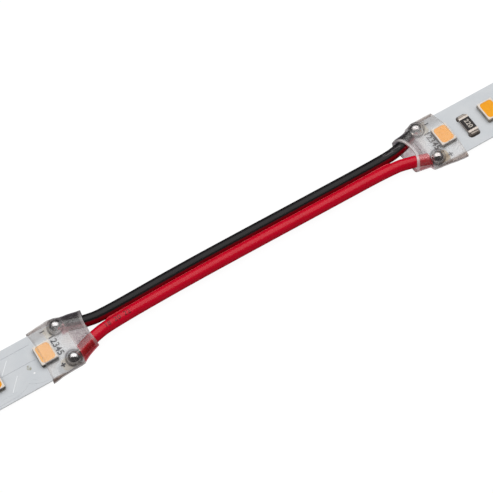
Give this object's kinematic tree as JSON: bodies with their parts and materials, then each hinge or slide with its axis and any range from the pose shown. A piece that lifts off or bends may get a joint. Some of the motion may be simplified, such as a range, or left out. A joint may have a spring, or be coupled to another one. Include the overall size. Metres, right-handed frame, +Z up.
{
  "type": "led strip connector",
  "caption": "Short red and black twin cable soldered between cut ends of white LED strip, each joint under a clear heat-shrink sleeve.",
  "frame": {"origin": "midway between the two soldered joints, on the surface the part lies on", "axes": "+X along the strips and the cable, towards the board that carries the resistor; +Y across, towards the negative core; +Z up, the side the LEDs face"},
  "size_m": [0.092, 0.0094, 0.0029],
  "materials": {
    "board_white": "satin white solder mask",
    "adhesive_tape": "matt white liner",
    "copper_pad": "bare copper",
    "solder": "bright",
    "led_housing": "matt cream",
    "led_phosphor": "silicone",
    "led_terminal": "plated",
    "resistor_body": "black overglaze",
    "resistor_cap": "tinned",
    "clear_sleeve": "clear, slightly hazy",
    "black_insulation": "satin",
    "red_insulation": "satin",
    "tinned_copper": "tinned strands"
  },
  "bodies": {
    "root": {"left_strip_board": "board_white", "left_adhesive_tape": "adhesive_tape", "left_negative_pad": "copper_pad", "left_negative_solder": "solder", "left_positive_pad": "copper_pad", "left_positive_solder": "solder", "left_led_1_housing": "led_housing", "left_led_1_phosphor": "led_phosphor", "left_led_1_cathode": "led_terminal", "left_led_1_anode": "led_terminal", "left_led_2_housing": "led_housing", "left_led_2_phosphor": "led_phosphor", "left_led_2_cathode": "led_terminal", "left_led_2_anode": "led_terminal", "left_sleeve": "clear_sleeve", "right_strip_board": "board_white", "right_adhesive_tape": "adhesive_tape", "right_negative_pad": "copper_pad", "right_negative_solder": "solder", "right_positive_pad": "copper_pad", "right_positive_solder": "solder", "right_led_1_housing": "led_housing", "right_led_1_phosphor": "led_phosphor", "right_led_1_cathode": "led_terminal", "right_led_1_anode": "led_terminal", "right_led_2_housing": "led_housing", "right_led_2_phosphor": "led_phosphor", "right_led_2_cathode": "led_terminal", "right_led_2_anode": "led_terminal", "right_sleeve": "clear_sleeve", "resistor_body": "resistor_body", "resistor_far_cap": "resistor_cap", "resistor_far_solder": "solder", "resistor_near_cap": "resistor_cap", "resistor_near_solder": "solder", "black_insulation": "black_insulation", "red_insulation": "red_insulation", "black_conductor": "tinned_copper", "red_conductor": "tinned_copper"}
  },
  "joints": []
}
